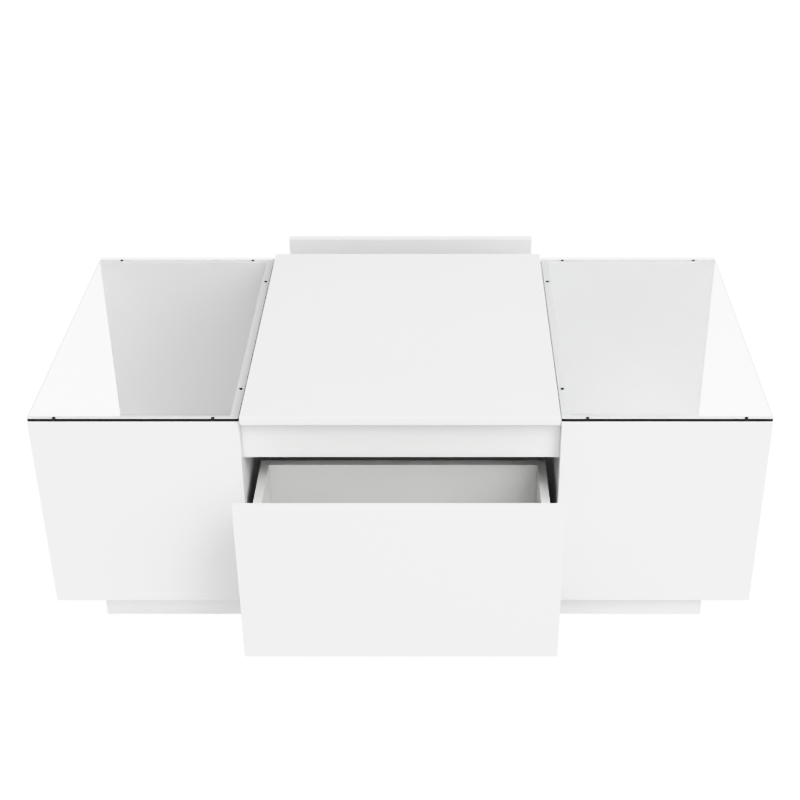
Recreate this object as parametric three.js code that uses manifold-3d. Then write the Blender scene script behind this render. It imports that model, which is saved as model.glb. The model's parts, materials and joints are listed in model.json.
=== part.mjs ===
// Lift top coffee table. Two side units with glass tops and open outer ends stand on one plinth.
// The bay between them holds a drawer towards each long side and, above the drawers, a shallow
// compartment whose lid, the centre top, lifts up and forward on a pair of spring linkages.
//
// Millimetres. The origin is on the floor under the middle of the table. +X runs along the table's
// length, +Y towards its rear and +Z up. The front drawer stands part open and the rear drawer
// stands fully open.

import * as THREE from "three";
import { mergeVertices } from "three/addons/utils/BufferGeometryUtils.js";
import Module from "manifold-3d";

const wasm = await Module();
wasm.setup();

// ---------------------------------------------------------------------------------------------
// Driving dimensions
// ---------------------------------------------------------------------------------------------

const TABLE = { length: 1200, depth: 600, height: 420 }; // height is the glass tops' upper face
const BOARD = 15; // every cabinet, drawer and plinth board
const BAY_WIDTH = 520; // clear width between the side units

const GLASS = { thickness: 5, cornerRadius: 3 };
const PAD = { radius: 3, height: 1, fromEnd: 42, alongSide: 200 }; // pads between board and glass

const PLINTH = { height: 50, endInset: 77, faceInset: 24 };

const APRON = { recess: 16, height: 73, bottom: 336 }; // closes the compartment, front and rear
const LIFT_TOP = { width: 516, depth: 610, bottom: 411 };

const DRAWER = {
  frontWidth: 515,
  frontBottom: 52,
  frontTop: 350,
  boxLength: 260,
  boxBottom: 78,
  boxTop: 258,
  bottomPanel: 5, // thickness of the panel in the side boards' grooves
  grooveHeight: 8, // above the side boards' lower edge
  grooveDepth: 6,
};
const FRONT_DRAWER_OUT = 149; // how far each drawer stands open
const REAR_DRAWER_OUT = 254; // the slides' whole travel
const GROOVE_PLAY = 0.3;

const SLIDE = {
  space: 13, // between the bay's wall and the drawer's side board
  length: 254,
  setback: 17, // from the table's face to the slide's end
  centreHeight: 160,
  steel: 1.2,
  holeRadius: 2.5,
  holes: [20, 84, 148, 212], // along each member from its outer end
};

const LIFT = {
  armLength: 190, // between pivots
  restAngle: THREE.MathUtils.degToRad(4), // the arms' slope when the top is closed
  pivotHeight: 368, // of the lower pivots
  frontPivotY: -70,
  rearPivotY: 30,
  armWidth: 22,
  armThickness: 4,
  plate: 3, // thickness of both brackets
  pinRadius: 4,
  holeRadius: 4.25,
  collarRadius: 6.5,
  sideGap: 0.3, // between an arm and the collar beside it
};
// Distances inward from the bay's wall to the face of each layer of a linkage.
const LAYER = { rearArm: 6, frontArm: 13, topBracket: 22, spring: 24 };
const SPRING = {
  radius: 6,
  pinRadius: 2.5,
  anchorY: -170,
  lever: 26, // from the front arm's lower pivot to the spring's pin
  leverAngle: THREE.MathUtils.degToRad(52), // as far before the vertical as it ends beyond it
  earRadius: 8,
  hookRoom: 6, // from each pin's surface to the coils
};

// ---------------------------------------------------------------------------------------------
// Derived dimensions
// ---------------------------------------------------------------------------------------------

const HALF_LENGTH = TABLE.length / 2;
const HALF_DEPTH = TABLE.depth / 2;
const BAY_HALF = BAY_WIDTH / 2;
const BOTTOM_BOARD_TOP = PLINTH.height + BOARD;
const GLASS_BOTTOM = TABLE.height - GLASS.thickness;
const PANEL_TOP = GLASS_BOTTOM - PAD.height;
const APRON_FACE = HALF_DEPTH - APRON.recess;
const APRON_BACK = APRON_FACE - BOARD;
const COMPARTMENT_FLOOR_TOP = APRON.bottom + BOARD;
const BOX_HALF_WIDTH = BAY_HALF - SLIDE.space;
const BOX_FRONT = HALF_DEPTH - BOARD; // the drawer front's inner face, drawer closed
const BOX_BACK = BOX_FRONT - DRAWER.boxLength;
const SIDES = { left: -1, right: 1 };
const FACES = { front: -1, rear: 1 };

// ---------------------------------------------------------------------------------------------
// Materials
// ---------------------------------------------------------------------------------------------

function finish(color, roughness, metalness = 0) {
  return new THREE.MeshStandardMaterial({ color, roughness, metalness });
}

const WHITE_LACQUER = finish(0xf2f2f2, 0.2);
const WHITE_PANEL = finish(0xececea, 0.5);
const CLEAR_GLASS = new THREE.MeshStandardMaterial({
  color: 0xe8f0ee,
  roughness: 0.03,
  metalness: 0,
  transparent: true,
  opacity: 0.25,
});
const DARK_RUBBER = finish(0x202020, 0.7);
const ZINC_STEEL = finish(0xb9bcc0, 0.35, 1);
const DARK_STEEL = finish(0x3a3c40, 0.45, 1);
const SPRING_STEEL = finish(0x8d9095, 0.3, 1);

// ---------------------------------------------------------------------------------------------
// Shape helpers
// ---------------------------------------------------------------------------------------------

const table = new THREE.Group();

function addMesh(name, geometry, material, parent = table) {
  const mesh = new THREE.Mesh(geometry, material);
  mesh.name = name;
  parent.add(mesh);
  return mesh;
}

// A range of one coordinate on the side that sign names, lowest value first.
function span(sign, near, far) {
  return sign < 0 ? [-far, -near] : [near, far];
}

function around(centre, half) {
  return [centre - half, centre + half];
}

// The X range between two distances inward from one of the bay's walls.
function layer(side, near, far) {
  return span(side, BAY_HALF - far, BAY_HALF - near);
}

// A plain board filling three coordinate ranges.
function addBoard(name, x, y, z, material = WHITE_LACQUER, parent = table) {
  const ranges = [x, y, z];
  const size = ranges.map(([low, high]) => high - low);
  const centre = ranges.map(([low, high]) => (low + high) / 2);
  const geometry = new THREE.BoxGeometry(...size);
  geometry.translate(...centre);
  return addMesh(name, geometry, material, parent);
}

// An outline drawn in Y and Z, made into a plate from x[0] to x[1].
function plateAlongX(shape, x) {
  const geometry = new THREE.ExtrudeGeometry(shape, {
    depth: x[1] - x[0],
    bevelEnabled: false,
    curveSegments: 12,
  });
  const toYZ = new THREE.Matrix4().makeBasis(
    new THREE.Vector3(0, 1, 0),
    new THREE.Vector3(0, 0, 1),
    new THREE.Vector3(1, 0, 0),
  );
  geometry.applyMatrix4(toYZ);
  geometry.translate(x[0], 0, 0);
  return geometry;
}

// A section drawn in X and Z, made into a bar from y[0] to y[1].
function barAlongY(points, y) {
  const shape = new THREE.Shape(points.map(([px, pz]) => new THREE.Vector2(px, pz)));
  const geometry = new THREE.ExtrudeGeometry(shape, { depth: y[1] - y[0], bevelEnabled: false });
  const toXZ = new THREE.Matrix4().makeBasis(
    new THREE.Vector3(1, 0, 0),
    new THREE.Vector3(0, 0, 1),
    new THREE.Vector3(0, -1, 0),
  );
  geometry.applyMatrix4(toXZ);
  geometry.translate(0, y[1], 0);
  return geometry;
}

function cylinderAlongX(radius, x, y, z, segments = 24) {
  const geometry = new THREE.CylinderGeometry(radius, radius, x[1] - x[0], segments);
  geometry.rotateZ(Math.PI / 2);
  geometry.translate((x[0] + x[1]) / 2, y, z);
  return geometry;
}

function cylinderAlongZ(radius, x, y, z, segments = 24) {
  const geometry = new THREE.CylinderGeometry(radius, radius, z[1] - z[0], segments);
  geometry.rotateX(Math.PI / 2);
  geometry.translate(x, y, (z[0] + z[1]) / 2);
  return geometry;
}

function block(x, y, z) {
  const geometry = new THREE.BoxGeometry(x[1] - x[0], y[1] - y[0], z[1] - z[0]);
  geometry.translate((x[0] + x[1]) / 2, (y[0] + y[1]) / 2, (z[0] + z[1]) / 2);
  return geometry;
}

// A flat link round two centres, with a round end at each.
function linkShape(from, to, radius) {
  const angle = Math.atan2(to.y - from.y, to.x - from.x);
  const shape = new THREE.Shape();
  shape.absarc(to.x, to.y, radius, angle - Math.PI / 2, angle + Math.PI / 2, false);
  shape.absarc(from.x, from.y, radius, angle + Math.PI / 2, angle + 1.5 * Math.PI, false);
  shape.closePath();
  return shape;
}

// ---------------------------------------------------------------------------------------------
// Booleans
// ---------------------------------------------------------------------------------------------

function toSolid(geometry) {
  const bare = geometry.clone();
  bare.deleteAttribute("normal");
  bare.deleteAttribute("uv");
  const merged = mergeVertices(bare, 1e-4);
  return new wasm.Manifold(
    new wasm.Mesh({
      numProp: 3,
      vertProperties: new Float32Array(merged.attributes.position.array),
      triVerts: new Uint32Array(merged.index.array),
    }),
  );
}

function toGeometry(solid) {
  const mesh = solid.getMesh();
  const geometry = new THREE.BufferGeometry();
  geometry.setAttribute("position", new THREE.BufferAttribute(mesh.vertProperties, 3));
  geometry.setIndex(new THREE.BufferAttribute(mesh.triVerts, 1));
  geometry.computeVertexNormals();
  return geometry;
}

function joinAndCut(joined, cut = []) {
  let solid = toSolid(joined[0]);
  for (const geometry of joined.slice(1)) {
    solid = solid.add(toSolid(geometry));
  }
  for (const geometry of cut) {
    solid = solid.subtract(toSolid(geometry));
  }
  return toGeometry(solid);
}

// ---------------------------------------------------------------------------------------------
// Plinth: one glued frame, set back from every face, with a stretcher across its middle
// ---------------------------------------------------------------------------------------------

function addPlinth() {
  const endX = HALF_LENGTH - PLINTH.endInset;
  const faceY = HALF_DEPTH - PLINTH.faceInset;
  const height = [0, PLINTH.height];
  const inner = [-faceY + BOARD / 2, faceY - BOARD / 2];
  const rails = Object.values(FACES).map((face) =>
    block([-endX, endX], span(face, faceY - BOARD, faceY), height),
  );
  const ends = Object.values(SIDES).map((side) =>
    block(span(side, endX - BOARD, endX), inner, height),
  );
  const stretcher = block(around(0, BOARD / 2), inner, height);
  addMesh("plinth_frame", joinAndCut([...rails, ...ends, stretcher]), WHITE_LACQUER);
}

// ---------------------------------------------------------------------------------------------
// Side units: bottom, front, rear and inner boards, glass top on six pads, outer end open
// ---------------------------------------------------------------------------------------------

function glassGeometry(x, y, z) {
  const r = GLASS.cornerRadius;
  const shape = new THREE.Shape();
  shape.absarc(x[1] - r, y[0] + r, r, -Math.PI / 2, 0, false);
  shape.absarc(x[1] - r, y[1] - r, r, 0, Math.PI / 2, false);
  shape.absarc(x[0] + r, y[1] - r, r, Math.PI / 2, Math.PI, false);
  shape.absarc(x[0] + r, y[0] + r, r, Math.PI, 1.5 * Math.PI, false);
  shape.closePath();
  const geometry = new THREE.ExtrudeGeometry(shape, {
    depth: z[1] - z[0],
    bevelEnabled: false,
    curveSegments: 6,
  });
  geometry.translate(0, 0, z[0]);
  return geometry;
}

function addSideUnit(name, side) {
  const across = span(side, BAY_HALF, HALF_LENGTH);
  const upright = [BOTTOM_BOARD_TOP, PANEL_TOP];

  addBoard(`${name}_bottom_board`, across, [-HALF_DEPTH, HALF_DEPTH], [PLINTH.height, BOTTOM_BOARD_TOP]);
  for (const [faceName, face] of Object.entries(FACES)) {
    addBoard(`${name}_${faceName}_panel`, across, span(face, BOX_FRONT, HALF_DEPTH), upright);
  }
  const innerWall = span(side, BAY_HALF, BAY_HALF + BOARD);
  addBoard(`${name}_inner_panel`, innerWall, [-BOX_FRONT, BOX_FRONT], upright);

  const glass = glassGeometry(across, [-HALF_DEPTH, HALF_DEPTH], [GLASS_BOTTOM, TABLE.height]);
  addMesh(`${name}_glass_top`, glass, CLEAR_GLASS);

  const padX = { inner: BAY_HALF + PAD.fromEnd, outer: HALF_LENGTH - PAD.fromEnd };
  for (const [faceName, face] of Object.entries(FACES)) {
    const onPanel = face * (HALF_DEPTH - BOARD / 2);
    for (const [place, x] of Object.entries(padX)) {
      addPad(`${name}_pad_${faceName}_${place}`, side * x, onPanel);
    }
    addPad(`${name}_pad_side_${faceName}`, side * (BAY_HALF + BOARD / 2), face * PAD.alongSide);
  }
}

function addPad(name, x, y) {
  addMesh(name, cylinderAlongZ(PAD.radius, x, y, [PANEL_TOP, GLASS_BOTTOM], 16), DARK_RUBBER);
}

// ---------------------------------------------------------------------------------------------
// Centre: bottom board, the two aprons, the compartment's floor and the lifting top
// ---------------------------------------------------------------------------------------------

function addCentre() {
  const across = [-BAY_HALF, BAY_HALF];
  const bottomDepth = [-APRON_FACE, APRON_FACE];
  addBoard("centre_bottom_board", across, bottomDepth, [PLINTH.height, BOTTOM_BOARD_TOP]);
  for (const [faceName, face] of Object.entries(FACES)) {
    const apronHeight = [APRON.bottom, APRON.bottom + APRON.height];
    addBoard(`${faceName}_apron`, across, span(face, APRON_BACK, APRON_FACE), apronHeight);
  }
  const floorDepth = [-APRON_BACK, APRON_BACK];
  addBoard("compartment_floor", across, floorDepth, [APRON.bottom, COMPARTMENT_FLOOR_TOP]);
  addBoard(
    "lift_top_board",
    around(0, LIFT_TOP.width / 2),
    around(0, LIFT_TOP.depth / 2),
    [LIFT_TOP.bottom, LIFT_TOP.bottom + BOARD],
  );
}

// ---------------------------------------------------------------------------------------------
// Drawers: the same box twice, facing the front and the rear
// ---------------------------------------------------------------------------------------------

// A side board's section, with the groove that holds the bottom panel on its inner face.
function drawerSideSection(side) {
  const outer = side * BOX_HALF_WIDTH;
  const inner = side * (BOX_HALF_WIDTH - BOARD);
  const grooveEnd = inner + side * DRAWER.grooveDepth;
  const panelBottom = DRAWER.boxBottom + DRAWER.grooveHeight;
  const grooveLow = panelBottom - GROOVE_PLAY;
  const grooveHigh = panelBottom + DRAWER.bottomPanel + GROOVE_PLAY;
  return [
    [outer, DRAWER.boxBottom],
    [outer, DRAWER.boxTop],
    [inner, DRAWER.boxTop],
    [inner, grooveHigh],
    [grooveEnd, grooveHigh],
    [grooveEnd, grooveLow],
    [inner, grooveLow],
    [inner, DRAWER.boxBottom],
  ];
}

function addDrawer(name, face, out) {
  const drawer = new THREE.Group();
  drawer.position.y = face * out;
  table.add(drawer);

  const innerHalf = BOX_HALF_WIDTH - BOARD;
  const panelBottom = DRAWER.boxBottom + DRAWER.grooveHeight;
  const panelTop = panelBottom + DRAWER.bottomPanel;
  const boxDepth = span(face, BOX_BACK, BOX_FRONT);

  addBoard(
    `${name}_front`,
    around(0, DRAWER.frontWidth / 2),
    span(face, BOX_FRONT, HALF_DEPTH),
    [DRAWER.frontBottom, DRAWER.frontTop],
    WHITE_LACQUER,
    drawer,
  );
  for (const [sideName, side] of Object.entries(SIDES)) {
    const geometry = barAlongY(drawerSideSection(side), boxDepth);
    addMesh(`${name}_${sideName}_side`, geometry, WHITE_PANEL, drawer);
  }
  addBoard(
    `${name}_back`,
    around(0, innerHalf),
    span(face, BOX_BACK, BOX_BACK + BOARD),
    [panelTop, DRAWER.boxTop],
    WHITE_PANEL,
    drawer,
  );
  addBoard(
    `${name}_bottom_panel`,
    around(0, innerHalf + DRAWER.grooveDepth - GROOVE_PLAY),
    boxDepth,
    [panelBottom, panelTop],
    WHITE_PANEL,
    drawer,
  );
}

// ---------------------------------------------------------------------------------------------
// Drawer slides: three nested channels on each side of each drawer
// ---------------------------------------------------------------------------------------------

// A channel's section. Distances u run inward from the bay's wall; web and lip are its two ends.
function channelSection(side, web, lip, half) {
  const t = SLIDE.steel * Math.sign(lip - web);
  const flat = [
    [web, -half],
    [lip, -half],
    [lip, -half + SLIDE.steel],
    [web + t, -half + SLIDE.steel],
    [web + t, half - SLIDE.steel],
    [lip, half - SLIDE.steel],
    [lip, half],
    [web, half],
  ];
  return flat.map(([u, v]) => [side * (BAY_HALF - u), SLIDE.centreHeight + v]);
}

// travel is the share of the drawer's own movement that a member makes.
const SLIDE_MEMBERS = {
  cabinet_member: { web: 0, lip: 9.6, half: 22.5, travel: 0 },
  middle_member: { web: 2.4, lip: 10.6, half: 18, travel: 0.5 },
  drawer_member: { web: 12.7, lip: 4.5, half: 13.5, travel: 1 },
};

function addSlides(drawerName, face, out) {
  const closed = HALF_DEPTH - SLIDE.setback;
  for (const [sideName, side] of Object.entries(SIDES)) {
    for (const [memberName, member] of Object.entries(SLIDE_MEMBERS)) {
      const section = channelSection(side, member.web, member.lip, member.half);
      const depth = span(face, closed - SLIDE.length, closed);
      const throughWeb = layer(side, member.web - 2, member.web + 2);
      const holes = SLIDE.holes.map((along) =>
        cylinderAlongX(SLIDE.holeRadius, throughWeb, face * (closed - along), SLIDE.centreHeight, 12),
      );
      const name = `${drawerName}_slide_${sideName}_${memberName}`;
      const mesh = addMesh(name, joinAndCut([barAlongY(section, depth)], holes), ZINC_STEEL);
      mesh.position.y = face * out * member.travel;
    }
  }
}

// ---------------------------------------------------------------------------------------------
// Lift linkage: on each side, a base bracket, two equal arms, a top bracket and a spring
// ---------------------------------------------------------------------------------------------

const ARM_STEP = new THREE.Vector2(
  LIFT.armLength * Math.cos(LIFT.restAngle),
  LIFT.armLength * Math.sin(LIFT.restAngle),
);
const FRONT_PIVOT = new THREE.Vector2(LIFT.frontPivotY, LIFT.pivotHeight);
const REAR_PIVOT = new THREE.Vector2(LIFT.rearPivotY, LIFT.pivotHeight);
const SPRING_LEVER = new THREE.Vector2(
  LIFT.frontPivotY + SPRING.lever * Math.cos(SPRING.leverAngle),
  LIFT.pivotHeight + SPRING.lever * Math.sin(SPRING.leverAngle),
);
const SPRING_ANCHOR = new THREE.Vector2(SPRING.anchorY, SPRING_LEVER.y);

function pin(side, at, near, far, radius = LIFT.pinRadius) {
  return cylinderAlongX(radius, layer(side, near, far), at.x, at.y);
}

const BASE_BRACKET = { front: -185, rear: 55, top: 398, flangeWidth: 20, screwRadius: 2.3 };
const BASE_WALL_SCREWS = [-140, -105, -15, 42];
const BASE_WALL_SCREW_HEIGHT = 389;

function addBaseBracket(name, side) {
  const length = [BASE_BRACKET.front, BASE_BRACKET.rear];
  const floor = COMPARTMENT_FLOOR_TOP;
  const wallPlate = block(layer(side, 0, LIFT.plate), length, [floor, BASE_BRACKET.top]);
  const flange = block(
    layer(side, 0, BASE_BRACKET.flangeWidth),
    length,
    [floor, floor + LIFT.plate],
  );
  const inPlate = LIFT.plate / 2;
  const frontEnd = LAYER.frontArm + LIFT.armThickness + 0.5;
  const rearEnd = LAYER.rearArm + LIFT.armThickness + 0.5;
  const springEnd = LAYER.spring + SPRING.radius;
  const pins = [
    pin(side, FRONT_PIVOT, inPlate, frontEnd),
    pin(side, REAR_PIVOT, inPlate, rearEnd),
    pin(side, SPRING_ANCHOR, inPlate, springEnd, SPRING.pinRadius),
  ];
  const collars = [
    pin(side, FRONT_PIVOT, inPlate, LAYER.frontArm - LIFT.sideGap, LIFT.collarRadius),
    pin(side, REAR_PIVOT, inPlate, LAYER.rearArm - LIFT.sideGap, LIFT.collarRadius),
  ];
  const holes = BASE_WALL_SCREWS.map((y) =>
    cylinderAlongX(
      BASE_BRACKET.screwRadius,
      layer(side, -1, LIFT.plate + 1),
      y,
      BASE_WALL_SCREW_HEIGHT,
      16,
    ),
  );
  const geometry = joinAndCut([wallPlate, flange, ...pins, ...collars], holes);
  addMesh(`${name}_lift_base_bracket`, geometry, DARK_STEEL);
}

function addArms(name, side) {
  const arms = {
    front: { lower: FRONT_PIVOT, near: LAYER.frontArm },
    rear: { lower: REAR_PIVOT, near: LAYER.rearArm },
  };
  for (const [armName, arm] of Object.entries(arms)) {
    const x = layer(side, arm.near, arm.near + LIFT.armThickness);
    const upper = arm.lower.clone().add(ARM_STEP);
    const joined = [plateAlongX(linkShape(arm.lower, upper, LIFT.armWidth / 2), x)];
    if (armName === "front") {
      joined.push(plateAlongX(linkShape(arm.lower, SPRING_LEVER, SPRING.earRadius), x));
      const leverEnd = LAYER.spring + SPRING.radius;
      joined.push(pin(side, SPRING_LEVER, arm.near + 1, leverEnd, SPRING.pinRadius));
    }
    const beyond = [arm.near - 1, arm.near + LIFT.armThickness + 1];
    const holes = [arm.lower, upper].map((at) => pin(side, at, ...beyond, LIFT.holeRadius));
    addMesh(`${name}_lift_${armName}_arm`, joinAndCut(joined, holes), DARK_STEEL);
  }
}

const TOP_BRACKET = { front: 98, rear: 241, below: 13, flangeWidth: 33, screwRadius: 2.6 };
const TOP_FLANGE_SCREWS = [115, 169.5, 224];

function addTopBracket(name, side) {
  const length = [TOP_BRACKET.front, TOP_BRACKET.rear];
  const frontUpper = FRONT_PIVOT.clone().add(ARM_STEP);
  const rearUpper = REAR_PIVOT.clone().add(ARM_STEP);
  const top = LIFT_TOP.bottom;
  const webNear = LAYER.topBracket;
  const webFar = webNear + LIFT.plate;
  const web = block(layer(side, webNear, webFar), length, [frontUpper.y - TOP_BRACKET.below, top]);
  const flangeX = layer(side, webNear, webNear + TOP_BRACKET.flangeWidth);
  const flange = block(flangeX, length, [top - LIFT.plate, top]);
  const inWeb = webNear + LIFT.plate / 2;
  const pins = [
    pin(side, frontUpper, LAYER.frontArm - 0.5, inWeb),
    pin(side, rearUpper, LAYER.rearArm - 0.5, inWeb),
  ];
  const collars = [
    pin(side, frontUpper, LAYER.frontArm + LIFT.armThickness + LIFT.sideGap, inWeb, LIFT.collarRadius),
    pin(side, rearUpper, LAYER.rearArm + LIFT.armThickness + LIFT.sideGap, inWeb, LIFT.collarRadius),
  ];
  const screwX = side * (BAY_HALF - webNear - TOP_BRACKET.flangeWidth / 2);
  const holes = TOP_FLANGE_SCREWS.map((y) =>
    cylinderAlongZ(TOP_BRACKET.screwRadius, screwX, y, [top - LIFT.plate - 1, top + 1], 16),
  );
  const geometry = joinAndCut([web, flange, ...pins, ...collars], holes);
  addMesh(`${name}_lift_top_bracket`, geometry, DARK_STEEL);
}

// The coils' outer shape, between the hooks at the anchor and the lever.
function addSpring(name, side) {
  const coils = SPRING_LEVER.x - SPRING_ANCHOR.x - 2 * (SPRING.pinRadius + SPRING.hookRoom);
  const geometry = new THREE.CylinderGeometry(SPRING.radius, SPRING.radius, coils, 20);
  const middle = (SPRING_ANCHOR.x + SPRING_LEVER.x) / 2;
  geometry.translate(side * (BAY_HALF - LAYER.spring), middle, SPRING_LEVER.y);
  addMesh(`${name}_lift_spring`, geometry, SPRING_STEEL);
}

// ---------------------------------------------------------------------------------------------
// Assembly
// ---------------------------------------------------------------------------------------------

addPlinth();
for (const [name, side] of Object.entries(SIDES)) {
  addSideUnit(name, side);
}
addCentre();
for (const [name, out] of Object.entries({ front: FRONT_DRAWER_OUT, rear: REAR_DRAWER_OUT })) {
  addDrawer(`${name}_drawer`, FACES[name], out);
  addSlides(`${name}_drawer`, FACES[name], out);
}
for (const [name, side] of Object.entries(SIDES)) {
  addBaseBracket(name, side);
  addArms(name, side);
  addTopBracket(name, side);
  addSpring(name, side);
}

export default table;
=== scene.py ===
"""The looks of the lift top coffee table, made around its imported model.

Metres, in the model's own frame: +X along the table's length, +Y towards its rear and +Z up.
The boards, glass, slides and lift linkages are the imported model's own; this script rounds their
edges, gives every surface its finish and adds the small hardware: screws, cam fittings, rivets,
springs, balls and their cages, bumpers and corner blocks.
"""

import json
import math

import bmesh
import bpy
from mathutils import Matrix, Vector


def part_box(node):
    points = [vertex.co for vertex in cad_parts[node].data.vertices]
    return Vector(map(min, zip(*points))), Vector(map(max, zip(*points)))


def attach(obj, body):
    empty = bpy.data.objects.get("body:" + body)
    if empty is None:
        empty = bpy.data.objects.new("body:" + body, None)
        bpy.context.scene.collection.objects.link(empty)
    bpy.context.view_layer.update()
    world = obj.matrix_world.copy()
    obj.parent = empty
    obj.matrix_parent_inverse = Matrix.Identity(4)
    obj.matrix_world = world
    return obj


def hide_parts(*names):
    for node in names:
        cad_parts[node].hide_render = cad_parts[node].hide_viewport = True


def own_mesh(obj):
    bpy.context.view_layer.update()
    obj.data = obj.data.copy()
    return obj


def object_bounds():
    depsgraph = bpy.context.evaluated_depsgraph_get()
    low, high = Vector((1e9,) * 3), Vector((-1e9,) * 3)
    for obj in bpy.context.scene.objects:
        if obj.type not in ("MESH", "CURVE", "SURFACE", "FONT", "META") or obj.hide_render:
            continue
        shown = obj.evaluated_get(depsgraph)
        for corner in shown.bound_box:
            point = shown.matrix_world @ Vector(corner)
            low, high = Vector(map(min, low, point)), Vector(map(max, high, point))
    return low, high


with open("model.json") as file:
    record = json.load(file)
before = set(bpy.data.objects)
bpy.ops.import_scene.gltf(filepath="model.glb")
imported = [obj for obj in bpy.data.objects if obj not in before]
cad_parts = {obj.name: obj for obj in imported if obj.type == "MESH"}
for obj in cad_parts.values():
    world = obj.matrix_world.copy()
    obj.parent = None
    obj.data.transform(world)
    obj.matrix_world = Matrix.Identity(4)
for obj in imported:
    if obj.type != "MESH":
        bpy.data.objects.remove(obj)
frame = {"nodes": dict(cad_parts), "record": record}
CAD_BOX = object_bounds()

MM = 0.001
SIDES = {"left": -1, "right": 1}
FACES = {"front": -1, "rear": 1}
UP = Vector((0, 0, 1))
DOWN = -UP
LIFT_TOP = "lift_top"

# ---------------------------------------------------------------------------------------------
# Camera, light and floor
# ---------------------------------------------------------------------------------------------

CAMERA_AT = Vector((0.068, -2.301, 1.658))
CAMERA_DOWN = math.radians(31.0)  # level and square to the front, only tipped down
CAMERA_SENSOR = 36.0
CAMERA_LENS = 65.95
CAMERA_SHIFT = -0.053  # the frame's middle is a little left of the lens's

FLOOR_HALF = 20.0
FLOOR_GLOW = 1.40  # as seen
FLOOR_BOUNCE = 0.22  # as it lights what stands on it
FLOOR_ALBEDO = 0.15

SKY_EVEN = 0.36  # light from every direction
SKY_FRONT = 0.82  # more from the front and above
SKY_FRONT_TOWARDS = Vector((0.10, -0.70, 0.71)).normalized()
KEY_AROUND = math.radians(42)  # to the right of straight in front
KEY_ABOVE = math.radians(35)
KEY_DISTANCE = 6.0
KEY_SIZE = 4.5
KEY_WATTS = 130.0
DIFFUSE_BOUNCES = 3

WHITE_AT = 1.5  # the light that shows as pure white
SHOWN_FOR_LIGHT = (
    (0.12, 0.06), (0.40, 0.52), (0.60, 0.68), (0.70, 0.78), (0.79, 0.86), (0.90, 0.893), (1.1, 0.92)
)


def make_camera():
    """A camera in front of the table, level across and tipped down, with a small sideways shift."""
    lens = bpy.data.cameras.new("camera")
    lens.sensor_width = CAMERA_SENSOR
    lens.lens = CAMERA_LENS
    lens.shift_x = CAMERA_SHIFT
    camera = bpy.data.objects.new("camera", lens)
    camera.location = CAMERA_AT
    camera.rotation_euler = (math.pi / 2 - CAMERA_DOWN, 0, 0)
    bpy.context.scene.collection.objects.link(camera)
    bpy.context.scene.camera = camera


def make_sky():
    """Studio light from all round, stronger from the front and above, and plain white to see."""
    world = bpy.data.worlds.new("studio")
    bpy.context.scene.world = world
    world.use_nodes = True
    tree = world.node_tree
    tree.nodes.clear()
    direction = add_node(tree, "TexCoord")
    facing_front = add_node(tree, "VectorMath")
    facing_front.operation = "DOT_PRODUCT"
    facing_front.inputs[1].default_value = SKY_FRONT_TOWARDS
    tree.links.new(direction.outputs["Generated"], facing_front.inputs[0])
    strength = add_node(tree, "MapRange", From_Min=0.0, From_Max=1.0)
    strength.interpolation_type = "SMOOTHSTEP"
    strength.inputs["To Min"].default_value = SKY_EVEN
    strength.inputs["To Max"].default_value = SKY_EVEN + SKY_FRONT
    tree.links.new(facing_front.outputs["Value"], strength.inputs["Value"])
    light = add_node(tree, "Background")
    tree.links.new(strength.outputs["Result"], light.inputs["Strength"])
    backdrop = add_node(tree, "Background", Strength=WHITE_AT)
    for background in (light, backdrop):
        background.inputs["Color"].default_value = (1, 1, 1, 1)
    path = add_node(tree, "LightPath")
    choose = add_node(tree, "MixShader")
    tree.links.new(path.outputs["Is Camera Ray"], choose.inputs["Fac"])
    tree.links.new(light.outputs["Background"], choose.inputs[1])
    tree.links.new(backdrop.outputs["Background"], choose.inputs[2])
    out = add_node(tree, "OutputWorld")
    tree.links.new(choose.outputs["Shader"], out.inputs["Surface"])


def make_key():
    """A large square softbox to the right of the camera."""
    towards = Vector((
        math.sin(KEY_AROUND) * math.cos(KEY_ABOVE),
        -math.cos(KEY_AROUND) * math.cos(KEY_ABOVE),
        math.sin(KEY_ABOVE),
    ))
    softbox = bpy.data.lights.new("key_softbox", "AREA")
    softbox.shape = "SQUARE"
    softbox.size = KEY_SIZE
    softbox.energy = KEY_WATTS
    key = bpy.data.objects.new("key_softbox", softbox)
    key.location = (CAD_BOX[0] + CAD_BOX[1]) / 2 + towards * KEY_DISTANCE
    key.rotation_euler = towards.to_track_quat("Z", "Y").to_euler()
    key.visible_glossy = False  # no hard-edged square mirrored in the glass
    bpy.context.scene.collection.objects.link(key)


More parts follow.
